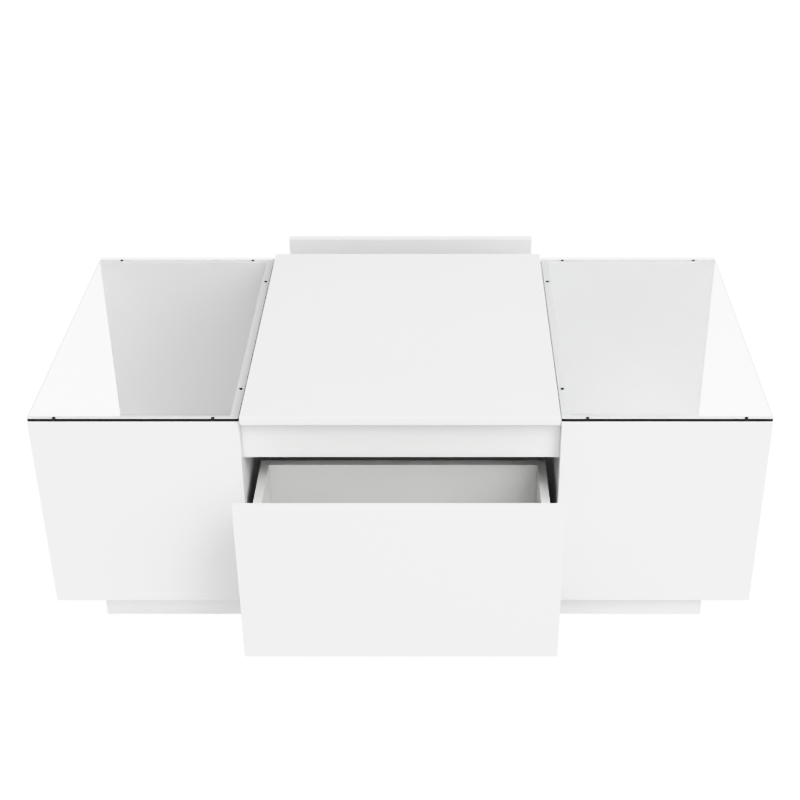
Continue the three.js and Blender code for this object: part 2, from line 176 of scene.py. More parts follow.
def make_floor():
    """A white studio floor that glows just enough to vanish, and still takes a faint shadow."""
    material = bpy.data.materials.new("studio_floor")
    material.use_nodes = True
    tree = material.node_tree
    tree.nodes.clear()
    matt = add_node(tree, "BsdfDiffuse", Color=(FLOOR_ALBEDO, FLOOR_ALBEDO, FLOOR_ALBEDO, 1))
    glow = add_node(tree, "Emission", Color=(1, 1, 1, 1))
    path = add_node(tree, "LightPath")
    strength = add_node(tree, "MapRange")
    strength.inputs["To Min"].default_value = FLOOR_GLOW
    strength.inputs["To Max"].default_value = FLOOR_BOUNCE
    tree.links.new(path.outputs["Is Diffuse Ray"], strength.inputs["Value"])
    tree.links.new(strength.outputs["Result"], glow.inputs["Strength"])
    both = add_node(tree, "AddShader")
    out = add_node(tree, "OutputMaterial")
    tree.links.new(matt.outputs["BSDF"], both.inputs[0])
    tree.links.new(glow.outputs["Emission"], both.inputs[1])
    tree.links.new(both.outputs["Shader"], out.inputs["Surface"])
    corners = [(-FLOOR_HALF, -FLOOR_HALF), (FLOOR_HALF, -FLOOR_HALF)]
    corners += [(FLOOR_HALF, FLOOR_HALF), (-FLOOR_HALF, FLOOR_HALF)]
    mesh = bpy.data.meshes.new("studio_floor")
    mesh.from_pydata([(x, y, 0) for x, y in corners], [], [(0, 1, 2, 3)])
    mesh.materials.append(material)
    floor = bpy.data.objects.new("studio_floor", mesh)
    bpy.context.scene.collection.objects.link(floor)


def set_colour_and_bounces():
    """The tone curve that shows light as grey, and how often light passes between matt faces."""
    view = bpy.context.scene.view_settings
    view.view_transform = "Standard"
    view.look = "None"
    view.use_curve_mapping = True
    mapping = view.curve_mapping
    mapping.white_level = (WHITE_AT, WHITE_AT, WHITE_AT)
    for light, shown in SHOWN_FOR_LIGHT:
        mapping.curves[3].points.new(light / WHITE_AT, shown)
    mapping.update()
    bpy.context.scene.cycles.diffuse_bounces = DIFFUSE_BOUNCES


# ---------------------------------------------------------------------------------------------
# Material helpers
# ---------------------------------------------------------------------------------------------

NOISE_LOW = 0.3  # nearly all of a noise's values lie between these two
NOISE_HIGH = 0.7


def add_node(tree, kind, **inputs):
    """A shader node with some of its inputs set. An underscore stands for a space in a name."""
    made = tree.nodes.new("ShaderNode" + kind)
    for name, value in inputs.items():
        made.inputs[name.replace("_", " ")].default_value = value
    return made


def noise(tree, size, detail=2.0, stretch=(1, 1, 1)):
    """Noise with features about size across, drawn out along each axis by stretch."""
    place = add_node(tree, "TexCoord")
    scaled = add_node(tree, "Mapping", Scale=[1 / (size * s) for s in stretch])
    pattern = add_node(tree, "TexNoise", Scale=1.0, Detail=detail)
    tree.links.new(place.outputs["Object"], scaled.inputs["Vector"])
    tree.links.new(scaled.outputs["Vector"], pattern.inputs["Vector"])
    return pattern.outputs["Fac"]


def between(tree, pattern, low, high):
    """The pattern's values spread from low to high."""
    spread = add_node(tree, "MapRange", From_Min=NOISE_LOW, From_Max=NOISE_HIGH)
    spread.inputs["To Min"].default_value = low
    spread.inputs["To Max"].default_value = high
    tree.links.new(pattern, spread.inputs["Value"])
    return spread.outputs["Result"]


def tones(tree, pattern, dark, light):
    """The pattern as a drift between two colours."""
    ramp = add_node(tree, "ValToRGB")
    stops = zip(ramp.color_ramp.elements, (NOISE_LOW, NOISE_HIGH), (dark, light))
    for stop, position, colour in stops:
        stop.position = position
        stop.color = (*colour, 1)
    tree.links.new(pattern, ramp.inputs["Fac"])
    return ramp.outputs["Color"]


def relief(tree, pattern, depth, under=None):
    """A bump of that depth, over an earlier one if there is one."""
    bump = add_node(tree, "Bump", Distance=depth)
    tree.links.new(pattern, bump.inputs["Height"])
    if under is not None:
        tree.links.new(under, bump.inputs["Normal"])
    return bump.outputs["Normal"]


def new_material(name, **inputs):
    """A material with one Principled shader. Returns it, its node tree and the shader."""
    material = bpy.data.materials.new(name)
    material.use_nodes = True
    tree = material.node_tree
    tree.nodes.clear()
    shader = add_node(tree, "BsdfPrincipled", **inputs)
    out = add_node(tree, "OutputMaterial")
    tree.links.new(shader.outputs["BSDF"], out.inputs["Surface"])
    return material, tree, shader


def dress(tree, shader, colour, roughness, normal):
    """Gives a shader its colour, its roughness and its bump."""
    tree.links.new(colour, shader.inputs["Base Color"])
    tree.links.new(roughness, shader.inputs["Roughness"])
    tree.links.new(normal, shader.inputs["Normal"])


# ---------------------------------------------------------------------------------------------
# Materials
# ---------------------------------------------------------------------------------------------


def white_lacquer():
    """Sprayed lacquer on board: even white, a soft gloss and the spray's faint orange peel."""
    material, tree, shader = new_material(
        "white_lacquer_sprayed", IOR=1.48, Coat_Weight=0.2, Coat_Roughness=0.22
    )
    colour = tones(tree, noise(tree, 0.4), (0.872, 0.872, 0.868), (0.892, 0.892, 0.889))
    gloss = between(tree, noise(tree, 0.09, 3), 0.34, 0.44)
    swell = relief(tree, noise(tree, 0.03, 1), 0.03 * MM)
    peel = relief(tree, noise(tree, 0.0016, 2), 0.006 * MM, swell)
    dress(tree, shader, colour, gloss, peel)
    return material


def white_foil():
    """Matt foil on the drawer boards, with a fine pressed grain along their length."""
    material, tree, shader = new_material("white_foil_matt", IOR=1.45)
    colour = tones(tree, noise(tree, 0.15), (0.845, 0.843, 0.836), (0.868, 0.867, 0.861))
    sheen = between(tree, noise(tree, 0.02, 3), 0.52, 0.66)
    pores = relief(tree, noise(tree, 0.0009, 3, stretch=(1, 5, 1)), 0.02 * MM)
    dress(tree, shader, colour, sheen, pores)
    return material


GLASS_TINT_DEEP = (0.950, 0.958, 0.955)
GLASS_TINT_PALE = (0.962, 0.968, 0.966)


def clear_glass():
    """Float glass, faintly green. Shadow rays pass straight through, tinted, so light gets in."""
    material, tree, shader = new_material(
        "clear_float_glass", Roughness=0.0, IOR=1.5, Transmission_Weight=1.0
    )
    colour = tones(tree, noise(tree, 0.25), GLASS_TINT_DEEP, GLASS_TINT_PALE)
    tree.links.new(colour, shader.inputs["Base Color"])
    see_through = add_node(tree, "BsdfTransparent", Color=(*GLASS_TINT_PALE, 1))
    path = add_node(tree, "LightPath")
    choose = add_node(tree, "MixShader")
    tree.links.new(path.outputs["Is Shadow Ray"], choose.inputs["Fac"])
    tree.links.new(shader.outputs["BSDF"], choose.inputs[1])
    tree.links.new(see_through.outputs["BSDF"], choose.inputs[2])
    out = next(n for n in tree.nodes if n.type == "OUTPUT_MATERIAL")
    tree.links.new(choose.outputs["Shader"], out.inputs["Surface"])
    return material


RUBBER_RIM_DARK = (0.018, 0.018, 0.018)
RUBBER_RIM_LIGHT = (0.045, 0.044, 0.042)
# the paler colour is a painted highlight, laid on faces that point up
RUBBER_PAINTED_LIT_TOP_DARK = (0.10, 0.10, 0.10)
RUBBER_PAINTED_LIT_TOP_LIGHT = (0.17, 0.17, 0.168)


def dark_rubber():
    """Soft rubber, near black at its rim, with a painted highlight: faces that point up are painted
    paler, for the light that falls on its top.
    """
    material, tree, shader = new_material("dark_rubber_soft", IOR=1.5)
    bloom = noise(tree, 0.004, 4)
    rim = tones(tree, bloom, RUBBER_RIM_DARK, RUBBER_RIM_LIGHT)
    face = tones(tree, bloom, RUBBER_PAINTED_LIT_TOP_DARK, RUBBER_PAINTED_LIT_TOP_LIGHT)
    surface = add_node(tree, "NewGeometry")
    height = add_node(tree, "SeparateXYZ")
    tree.links.new(surface.outputs["True Normal"], height.inputs["Vector"])
    choose = add_node(tree, "Mix")
    choose.data_type = "RGBA"
    colour_in = [socket for socket in choose.inputs if socket.type == "RGBA"]
    colour_out = next(socket for socket in choose.outputs if socket.type == "RGBA")
    # painted highlight: the more a face points up, the paler it is painted
    tree.links.new(height.outputs["Z"], choose.inputs["Factor"])
    tree.links.new(rim, colour_in[0])
    tree.links.new(face, colour_in[1])
    dull = between(tree, noise(tree, 0.003, 3), 0.6, 0.8)
    skin = relief(tree, noise(tree, 0.0004, 2), 0.02 * MM)
    dress(tree, shader, colour_out, dull, skin)
    return material


def zinc_steel():
    """Zinc-plated steel: rolled along its length, with the plating's cloudy sheen."""
    material, tree, shader = new_material("zinc_plated_steel", Metallic=1.0)
    colour = tones(tree, noise(tree, 0.012, 4), (0.42, 0.44, 0.47), (0.56, 0.57, 0.585))
    streaks = noise(tree, 0.0007, 3, stretch=(1, 60, 1))
    gloss = between(tree, streaks, 0.26, 0.42)
    rolled = relief(tree, streaks, 0.008 * MM)
    dress(tree, shader, colour, gloss, rolled)
    return material


def dark_steel():
    """Black powder coat: finely pebbled, with a low sheen."""
    material, tree, shader = new_material("black_powder_coat", IOR=1.5)
    colour = tones(tree, noise(tree, 0.02, 3), (0.016, 0.016, 0.018), (0.028, 0.028, 0.031))
    sheen = between(tree, noise(tree, 0.006, 2), 0.38, 0.5)
    pebbles = relief(tree, noise(tree, 0.0009, 2), 0.035 * MM)
    dress(tree, shader, colour, sheen, pebbles)
    return material


def spring_steel():
    """Bright drawn wire with a film of oil."""
    material, tree, shader = new_material("drawn_spring_wire", Metallic=1.0)
    colour = tones(tree, noise(tree, 0.005, 3), (0.42, 0.42, 0.43), (0.60, 0.60, 0.61))
    gloss = between(tree, noise(tree, 0.002, 2), 0.18, 0.32)
    drawn = relief(tree, noise(tree, 0.0005, 2), 0.006 * MM)
    dress(tree, shader, colour, gloss, drawn)
    return material


def white_plastic():
    """Moulded white plastic with a fine spark-eroded skin."""
    material, tree, shader = new_material("white_moulded_plastic", IOR=1.49)
    colour = tones(tree, noise(tree, 0.01), (0.80, 0.80, 0.79), (0.85, 0.85, 0.845))
    sheen = between(tree, noise(tree, 0.002, 3), 0.38, 0.5)
    skin = relief(tree, noise(tree, 0.0003, 2), 0.012 * MM)
    dress(tree, shader, colour, sheen, skin)
    return material


def black_plastic():
    """Moulded black plastic of the slides' release levers."""
    material, tree, shader = new_material("black_moulded_plastic", IOR=1.49)
    colour = tones(tree, noise(tree, 0.006, 3), (0.014, 0.014, 0.015), (0.026, 0.026, 0.028))
    sheen = between(tree, noise(tree, 0.003, 3), 0.36, 0.5)
    skin = relief(tree, noise(tree, 0.0003, 2), 0.012 * MM)
    dress(tree, shader, colour, sheen, skin)
    return material


# ---------------------------------------------------------------------------------------------
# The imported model's own pieces
# ---------------------------------------------------------------------------------------------

WELD_WITHIN = 0.01 * MM  # closer points than this are one point
FLAT_WITHIN = math.radians(0.5)
ROUND_OVER = math.radians(40)  # an edge that turns further than this is rounded

EDGE_RADII = {
    "white_lacquer": 1.1 * MM,
    "white_drawer_board": 0.5 * MM,
    "clear_glass": 0.4 * MM,
    "dark_rubber": 0.2 * MM,
    "zinc_steel": 0.2 * MM,
    "dark_steel": 0.5 * MM,
    "spring_steel": 0.2 * MM,
}
EDGE_STEPS = 3
BY_FACE_AREA = 100  # a rounded edge takes its shading from the large faces beside it


def smooth_shading_group():
    """A node group that sets every face to smooth shading."""
    group = bpy.data.node_groups.new("smooth_shading", "GeometryNodeTree")
    for way in ("INPUT", "OUTPUT"):
        group.interface.new_socket("Geometry", in_out=way, socket_type="NodeSocketGeometry")
    start = group.nodes.new("NodeGroupInput")
    smooth = group.nodes.new("GeometryNodeSetShadeSmooth")
    end = group.nodes.new("NodeGroupOutput")
    group.links.new(start.outputs["Geometry"], smooth.inputs["Geometry"])
    group.links.new(smooth.outputs["Geometry"], end.inputs["Geometry"])
    return group


def round_edges(node, radius, smooth_shading):
    """Rounds a board's or bracket's edges, and keeps its flat faces looking flat."""
    weld = node.modifiers.new("weld", "WELD")
    weld.merge_threshold = WELD_WITHIN
    merge = node.modifiers.new("merge_flats", "DECIMATE")
    merge.decimate_type = "DISSOLVE"
    merge.angle_limit = FLAT_WITHIN
    bevel = node.modifiers.new("round_edges", "BEVEL")
    bevel.width = radius
    bevel.segments = EDGE_STEPS
    bevel.limit_method = "ANGLE"
    bevel.angle_limit = ROUND_OVER
    corners = node.modifiers.new("weld_corners", "WELD")
    corners.merge_threshold = WELD_WITHIN
    shading = node.modifiers.new("smooth", "NODES")
    shading.node_group = smooth_shading
    normals = node.modifiers.new("flat_faces", "WEIGHTED_NORMAL")
    normals.weight = BY_FACE_AREA


def finish_model_pieces(materials):
    """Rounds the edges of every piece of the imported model, and gives it its slot's material."""
    slots = {part["node"]: part["material_slot"] for part in frame["record"]["subparts"]}
    smooth_shading = smooth_shading_group()
    for name, node in frame["nodes"].items():
        slot = slots[name]
        round_edges(node, EDGE_RADII[slot], smooth_shading)
        for material_slot in node.material_slots:
            material_slot.material = materials[slot]


# ---------------------------------------------------------------------------------------------
# Shape helpers: turned and drawn shapes stand on z = 0 and point up
# ---------------------------------------------------------------------------------------------

ROUND_STEPS = 28
SHARP_ABOVE = math.radians(35)
BEVEL_STEPS = 2


def shape_from(made):
    """The finished mesh of a shape, with no collapsed faces and with every face pointing out."""
    bmesh.ops.dissolve_degenerate(made, dist=WELD_WITHIN, edges=made.edges[:])
    bmesh.ops.recalc_face_normals(made, faces=made.faces[:])
    mesh = bpy.data.meshes.new("shape")
    made.to_mesh(mesh)
    made.free()
    return mesh


def circle(radius, steps=ROUND_STEPS):
    """Points evenly round a circle."""
    angles = [2 * math.pi * step / steps for step in range(steps)]
    return [(radius * math.cos(angle), radius * math.sin(angle)) for angle in angles]


def lathe(profile):
    """A turned solid. The profile's (radius, height) points run from the axis back to the axis."""
    made = bmesh.new()
    rings = []
    for radius, height in profile:
        points = circle(radius) if radius > 0 else [(0, 0)]
        rings.append([made.verts.new((x, y, height)) for x, y in points])
    for low, high in zip(rings, rings[1:]):
        for step in range(ROUND_STEPS):
            after = (step + 1) % ROUND_STEPS
            corners = (low[step % len(low)], low[after % len(low)])
            corners += (high[after % len(high)], high[step % len(high)])
            made.faces.new(list(dict.fromkeys(corners)))
    return shape_from(made)


def prism(outline, depth, taper=1.0, soften=0.0):
    """An outline drawn out upwards. Taper scales its lower face, and soften rounds its edges."""
    made = bmesh.new()
    low = [made.verts.new((x * taper, y * taper, 0)) for x, y in outline]
    high = [made.verts.new((x, y, depth)) for x, y in outline]
    made.faces.new(low[::-1])
    made.faces.new(high)
    for step in range(len(outline)):
        after = (step + 1) % len(outline)
        made.faces.new((low[step], low[after], high[after], high[step]))
    if soften:
        edges = made.edges[:]
        bmesh.ops.bevel(made, geom=edges, offset=soften, segments=BEVEL_STEPS, affect="EDGES")
    return shape_from(made)


def carve(blank, tool, height):
    """The blank with the tool cut out of it, the tool raised by height."""
    solid = bpy.data.objects.new("blank", blank)
    cutter = bpy.data.objects.new("tool", tool)
    cutter.location = UP * height
    for temporary in (solid, cutter):
        bpy.context.scene.collection.objects.link(temporary)
    cut = solid.modifiers.new("cut", "BOOLEAN")
    cut.operation = "DIFFERENCE"
    cut.solver = "EXACT"
    cut.object = cutter
    result = bmesh.new()
    result.from_object(solid, bpy.context.evaluated_depsgraph_get())
    for temporary in (solid, cutter):
        bpy.data.objects.remove(temporary)
    return shape_from(result)


def wire(path, radius, sides):
    """A round wire along a path, with flat ends."""
    made = bmesh.new()
    across = Vector((1, 0, 0))
    rings = []
    for index, centre in enumerate(path):
        along = (path[min(index + 1, len(path) - 1)] - path[max(index - 1, 0)]).normalized()
        across = (across - along * across.dot(along)).normalized()
        other = along.cross(across)
        section = circle(radius, sides)
        rings.append([made.verts.new(centre + across * x + other * y) for x, y in section])
    for low, high in zip(rings, rings[1:]):
        for step in range(sides):
            after = (step + 1) % sides
            made.faces.new((low[step], low[after], high[after], high[step]))
    made.faces.new(rings[0][::-1])
    made.faces.new(rings[-1])
    return shape_from(made)


def facing(at, towards, spin=0.0):
    """Where a shape goes so that it stands at a point, points towards a direction and is spun."""
    turn = Vector(towards).to_track_quat("Z", "Y").to_matrix().to_4x4()
    return Matrix.Translation(at) @ turn @ Matrix.Rotation(spin, 4, "Z")


HAND_TURN = 1.1  # radians from one driven head to the next


def spun(places):
    """Points and directions as places, each turned further than the last, as by hand."""
    return [facing(at, towards, index * HAND_TURN) for index, (at, towards) in enumerate(places)]


def add_piece(name, shapes_and_places, body, material, slot=None):
    """One piece made of shapes, each at its own places. Its slot argument is not used."""
    slot = slot or material
    made = bmesh.new()
    for shape, places in shapes_and_places:
        for place in places:
            copy = shape.copy()
            copy.transform(place)
            made.from_mesh(copy)
            bpy.data.meshes.remove(copy)
    mesh = bpy.data.meshes.new(name)
    made.to_mesh(mesh)
    made.free()
    mesh.materials.clear()
    mesh.materials.append(MATERIALS[material])
    mesh.shade_smooth()
    mesh.set_sharp_from_angle(angle=SHARP_ABOVE)
    piece = bpy.data.objects.new(name, mesh)
    bpy.context.scene.collection.objects.link(piece)
    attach(piece, body)
    return piece


def point(side, x, y, z):
    """A point in millimetres, mirrored to one side of the table."""
    return Vector((SIDES[side] * x, y, z)) * MM


def box_mm(node):
    """A node's lowest and highest corners, in millimetres."""
    return [Vector(corner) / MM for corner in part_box(node)]


# ---------------------------------------------------------------------------------------------
# Small hardware
# ---------------------------------------------------------------------------------------------

RECESS_TAPER = 0.55  # a driver recess's width at its bottom, as a share of its width on top


def cross_recess(reach, width, depth):
    """The tool that cuts a cross-shaped driver recess, narrower at its bottom."""
    corners = [(reach, -width), (reach, width), (width, width), (width, reach)]
    outline = []
    for quarter in range(4):
        for x, y in corners[:3]:
            turned = Matrix.Rotation(quarter * math.pi / 2, 2) @ Vector((x, y))
            outline.append(tuple(turned))
    return prism(outline, depth, taper=RECESS_TAPER)


def pan_head(radius, height):
    """A pan-head screw's head, with a driver recess."""
    edge = height * 0.55
    profile = [(0, 0), (radius * 0.94, 0), (radius, height * 0.12), (radius, edge)]
    profile += [(radius * 0.93, height * 0.8), (radius * 0.72, height * 0.95), (0, height)]
    recess = cross_recess(radius * 0.52, radius * 0.11, height)
    return carve(lathe(profile), recess, height * 0.4)


def flat_head(radius, height):
    """A countersunk screw's head, standing a little proud, with a driver recess."""
    profile = [(0, 0), (radius * 0.8, 0), (radius, height * 0.7), (radius * 0.95, height)]
    profile.append((0, height))
    recess = cross_recess(radius * 0.5, radius * 0.11, height)
    return carve(lathe(profile), recess, height * 0.35)


def socket_head(radius, height):
    """A board connector's flat head with a hexagonal socket."""
    profile = [(0, 0), (radius, 0), (radius, height * 0.5), (radius * 0.93, height), (0, height)]
    return carve(lathe(profile), prism(circle(radius * 0.42, 6), height), height * 0.3)


def cam_disc(radius, height):
    """A cam fitting's face: a rim, a sunken disc and a driver recess."""
    profile = [(0, 0), (radius, 0), (radius, height * 0.7), (radius * 0.96, height)]
    profile += [(radius * 0.84, height), (radius * 0.82, height * 0.6), (0, height * 0.6)]
    return carve(lathe(profile), cross_recess(radius * 0.5, radius * 0.1, height), height * 0.25)


def cover_cap(radius, height):
    """A push-in plastic cap, thin at its rim and slightly domed."""
    profile = [(0, 0), (radius, 0), (radius, height * 0.25), (radius * 0.96, height * 0.6)]
    profile += [(radius * 0.85, height * 0.85), (radius * 0.5, height * 0.97), (0, height)]
    return lathe(profile)


def rivet_head(radius, height):
    """A spun rivet's head, with the dimple that the tool leaves."""
    profile = [(0, 0), (radius * 0.97, 0), (radius, height * 0.2), (radius * 0.92, height * 0.6)]
    profile += [(radius * 0.68, height * 0.92), (radius * 0.42, height)]
    profile += [(radius * 0.28, height * 0.9), (0, height * 0.72)]
    return lathe(profile)


def push_cap(radius, height):
    """A pressed cap that keeps a spring's loop on its pin."""
    profile = [(0, 0), (radius, 0), (radius, height * 0.3), (radius * 0.62, height * 0.4)]
    profile += [(radius * 0.6, height * 0.85), (radius * 0.45, height), (0, height)]
    return lathe(profile)


def bumper(radius, height):
    """A stick-on bumper: a low dome on a flat base."""
    profile = [(0, 0), (radius, 0), (radius * 0.98, height * 0.35), (radius * 0.84, height * 0.75)]
    profile += [(radius * 0.5, height * 0.96), (0, height)]
    return lathe(profile)


# ---------------------------------------------------------------------------------------------
# Lift linkages: springs, rivets and screws
# ---------------------------------------------------------------------------------------------

ARM_LENGTH = 190.0  # from pivot to pivot
ARM_SLOPE = math.radians(4)  # with the top closed
BASE_PIVOTS = {"front": (-70.0, 368.0), "rear": (30.0, 368.0)}  # along Y and Z
TOP_PIVOTS = {
    arm: (y + ARM_LENGTH * math.cos(ARM_SLOPE), z + ARM_LENGTH * math.sin(ARM_SLOPE))
    for arm, (y, z) in BASE_PIVOTS.items()
}
LEVER_LENGTH = 26.0  # from a front arm's lower pivot to its spring's pin
LEVER_SLOPE = math.radians(52)  # with the top closed, and as far past upright with it raised

WIRE_RADIUS = 0.8
WIRE_SIDES = 8
COIL_RADIUS = 5.2
COIL_TURNS = 34
COIL_STEPS = 16  # points in a turn
LOOP_RADIUS = 4.5
LOOP_OPENING = math.radians(50)
LOOP_STEPS = 22
LEAD_STEPS = 8

COIL_LEAD = 4.0  # from a loop to the coil's end

SPRING_X = 236.0
SPRING_Z = BASE_PIVOTS["front"][1] + LEVER_LENGTH * math.sin(LEVER_SLOPE)
ANCHOR_PIN_Y = -170.0
LEVER_PIN_Y = BASE_PIVOTS["front"][0] + LEVER_LENGTH * math.cos(LEVER_SLOPE)


def spring_path():
    """The wire's centre line from one loop to the other, with the coil's axis along Y."""
    coil_start = ANCHOR_PIN_Y + LOOP_RADIUS + COIL_LEAD
    coil_end = LEVER_PIN_Y - LOOP_RADIUS - COIL_LEAD
    points = []

    def loop(centre, start, end):
        """The flat loop round a pin."""
        for step in range(LOOP_STEPS):
            angle = start + (end - start) * step / LOOP_STEPS
            y = centre + LOOP_RADIUS * math.cos(angle)
            points.append((0, y, LOOP_RADIUS * math.sin(angle)))

    def turns(steps, start, end, y_start, y_end, radius_start, radius_end):
        """A stretch of helix, whose radius may grow or shrink."""
        for step in range(steps):
            share = step / steps
            angle = start + (end - start) * share
            radius = radius_start + (radius_end - radius_start) * share
            y = y_start + (y_end - y_start) * share
            points.append((radius * math.cos(angle), y, radius * math.sin(angle)))

    quarter = math.pi / 2
    full = 2 * math.pi
    lead_start = coil_start - COIL_LEAD
    lead_end = coil_end + COIL_LEAD
    coil_angle = quarter + math.pi
    coil_end_angle = coil_angle + full * COIL_TURNS
    lead_end_angle = coil_end_angle + math.pi
    steps = COIL_STEPS * COIL_TURNS
    loop(ANCHOR_PIN_Y, LOOP_OPENING, full)
    turns(LEAD_STEPS, quarter, coil_angle, lead_start, coil_start, 0, COIL_RADIUS)
    turns(steps, coil_angle, coil_end_angle, coil_start, coil_end, COIL_RADIUS, COIL_RADIUS)
    turns(LEAD_STEPS, coil_end_angle, lead_end_angle, coil_end, lead_end, COIL_RADIUS, 0)
    loop(LEVER_PIN_Y, math.pi, math.pi + full - LOOP_OPENING)
    return [Vector(place) * MM for place in points]


def add_springs():
    """Coil springs from the brackets to the front arms' levers."""
    shape = wire(spring_path(), WIRE_RADIUS * MM, WIRE_SIDES)
    for side in SIDES:
        at = Matrix.Translation(point(side, SPRING_X, 0, SPRING_Z))
        spring = add_piece(f"{side}_coil_spring", [(shape, [at])], "root", "spring_steel")
        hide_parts(f"{side}_lift_spring")
        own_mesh(spring)


RIVET_RADIUS = 6.0
RIVET_HEIGHT = 1.5
BASE_RIVET_X = {"front": 242.9, "rear": 249.9}  # the arms' inner faces
TOP_RIVET_X = {"front": 247.1, "rear": 254.1}  # the arms' outer faces
PIN_CAP_RADIUS = 3.6
PIN_CAP_HEIGHT = 1.6
PIN_CAP_X = 231.2  # just short of the spring pins' ends


def add_pivot_hardware():
    """Spun rivet heads on the four pivots of each side, and caps on the spring's two pins."""
    head = rivet_head(RIVET_RADIUS * MM, RIVET_HEIGHT * MM)
    cap = push_cap(PIN_CAP_RADIUS * MM, PIN_CAP_HEIGHT * MM)
    for side, sign in SIDES.items():
        inwards = (-sign, 0, 0)
        outwards = (sign, 0, 0)
        base = [point(side, BASE_RIVET_X[arm], *BASE_PIVOTS[arm]) for arm in FACES]
        top = [point(side, TOP_RIVET_X[arm], *TOP_PIVOTS[arm]) for arm in FACES]
        base_heads = [(head, [facing(at, inwards) for at in base])]
        top_heads = [(head, [facing(at, outwards) for at in top])]
        anchor = facing(point(side, PIN_CAP_X, ANCHOR_PIN_Y, SPRING_Z), inwards)
        lever = facing(point(side, PIN_CAP_X, LEVER_PIN_Y, SPRING_Z), inwards)
        add_piece(f"{side}_base_rivets", base_heads, "root", "zinc_steel")
        add_piece(f"{side}_top_rivets", top_heads, LIFT_TOP, "zinc_steel")
        add_piece(f"{side}_anchor_pin_cap", [(cap, [anchor])], "root", "zinc_steel")
        add_piece(f"{side}_lever_pin_cap", [(cap, [lever])], "front_arms", "zinc_steel")


PLATE = 3.0  # the brackets' steel
BRACKET_LOW, BRACKET_HIGH = box_mm("right_lift_base_bracket")
TOP_BRACKET_HIGH = box_mm("right_lift_top_bracket")[1]
BRACKET_SCREW_RADIUS = 4.0
BRACKET_SCREW_HEIGHT = 2.2
WALL_SCREWS_Y = (-140.0, -105.0, -15.0, 42.0)
WALL_SCREWS_Z = 389.0
FOOT_SCREWS_Y = (-165.0, -118.0)
FOOT_SCREWS_X = 249.0
FLANGE_SCREWS_Y = (115.0, 169.5, 224.0)
FLANGE_SCREWS_X = 221.5


def add_bracket_screws():
    """Pan-head screws through the brackets into the bay's walls, its floor and the lifting top."""
    head = pan_head(BRACKET_SCREW_RADIUS * MM, BRACKET_SCREW_HEIGHT * MM)
    wall_x = BRACKET_HIGH.x - PLATE
    foot_z = BRACKET_LOW.z + PLATE
    flange_z = TOP_BRACKET_HIGH.z - PLATE
    for side, sign in SIDES.items():
        base = [(point(side, wall_x, y, WALL_SCREWS_Z), (-sign, 0, 0)) for y in WALL_SCREWS_Y]
        base += [(point(side, FOOT_SCREWS_X, y, foot_z), UP) for y in FOOT_SCREWS_Y]
        top = [(point(side, FLANGE_SCREWS_X, y, flange_z), DOWN) for y in FLANGE_SCREWS_Y]
        add_piece(f"{side}_base_bracket_screws", [(head, spun(base))], "root", "zinc_steel")
        add_piece(f"{side}_top_bracket_screws", [(head, spun(top))], LIFT_TOP, "zinc_steel")


# ---------------------------------------------------------------------------------------------
# Drawer slides: balls, cages, screws and release levers
# ---------------------------------------------------------------------------------------------

PANEL_LOW, PANEL_HIGH = box_mm("right_inner_panel")
BAY_HALF = PANEL_LOW.x
SLIDE_Z = 160.0
SLIDE_HOLES = (20.0, 84.0, 148.0, 212.0)  # from a member's outer end
WALL_SCREW_RADIUS = 3.9
WALL_SCREW_HEIGHT = 0.9
WALL_SCREW_IN = 1.2  # from the bay's wall to where the head stands
BOX_SCREW_RADIUS = 3.6
BOX_SCREW_HEIGHT = 1.6
BOX_SCREW_IN = 11.5

BALL_RADIUS = 1.6
BALL_STEPS = 12  # from its lowest point to its highest
BALL_PITCH = 9.0
CAGE_LENGTH = 108.0
CAGE_THICKNESS = 0.7
CAGE_SOFTEN = 0.15
CAGE_END = 12.0  # from the middle member's end to its cage
OUTER_RUN = {"z": 19.65, "in": (3.4, 8.8)}  # up or down from the middle, and in from the wall
INNER_RUN = {"z": 15.15, "in": (4.9, 10.3)}

LEVER_OUTLINE = ((-17, -2.4), (9, -2.4), (17, -5.4), (17, 1.0), (9, 2.4), (-13, 2.4), (-17, 1.2))
LEVER_DEPTH = 4.6
LEVER_SOFTEN = 0.5
LEVER_IN = 6.0
LEVER_FROM_END = 116.0


def slide_member(drawer, side, member):
    """Where a slide member's outer and inner ends are along Y, in millimetres."""
    low, high = box_mm(f"{drawer}_drawer_slide_{side}_{member}")
    ends = (low.y, high.y)
    return ends if drawer == "front" else ends[::-1]


def slide_screws(drawer, side, member, holes, depth_in, towards):
    """Where the screws through a slide member's holes are, and which way their heads point."""
    outer, _ = slide_member(drawer, side, member)
    inwards = -FACES[drawer]
    at = [point(side, BAY_HALF - depth_in, outer + inwards * hole, SLIDE_Z) for hole in holes]
    return spun([(place, towards) for place in at])


def ball(radius):
    """A ball about the origin."""
    profile = [(0, -radius)]
    for step in range(1, BALL_STEPS):
        angle = math.pi * step / BALL_STEPS
        profile.append((radius * math.sin(angle), -radius * math.cos(angle)))
    profile.append((0, radius))
    return lathe(profile)


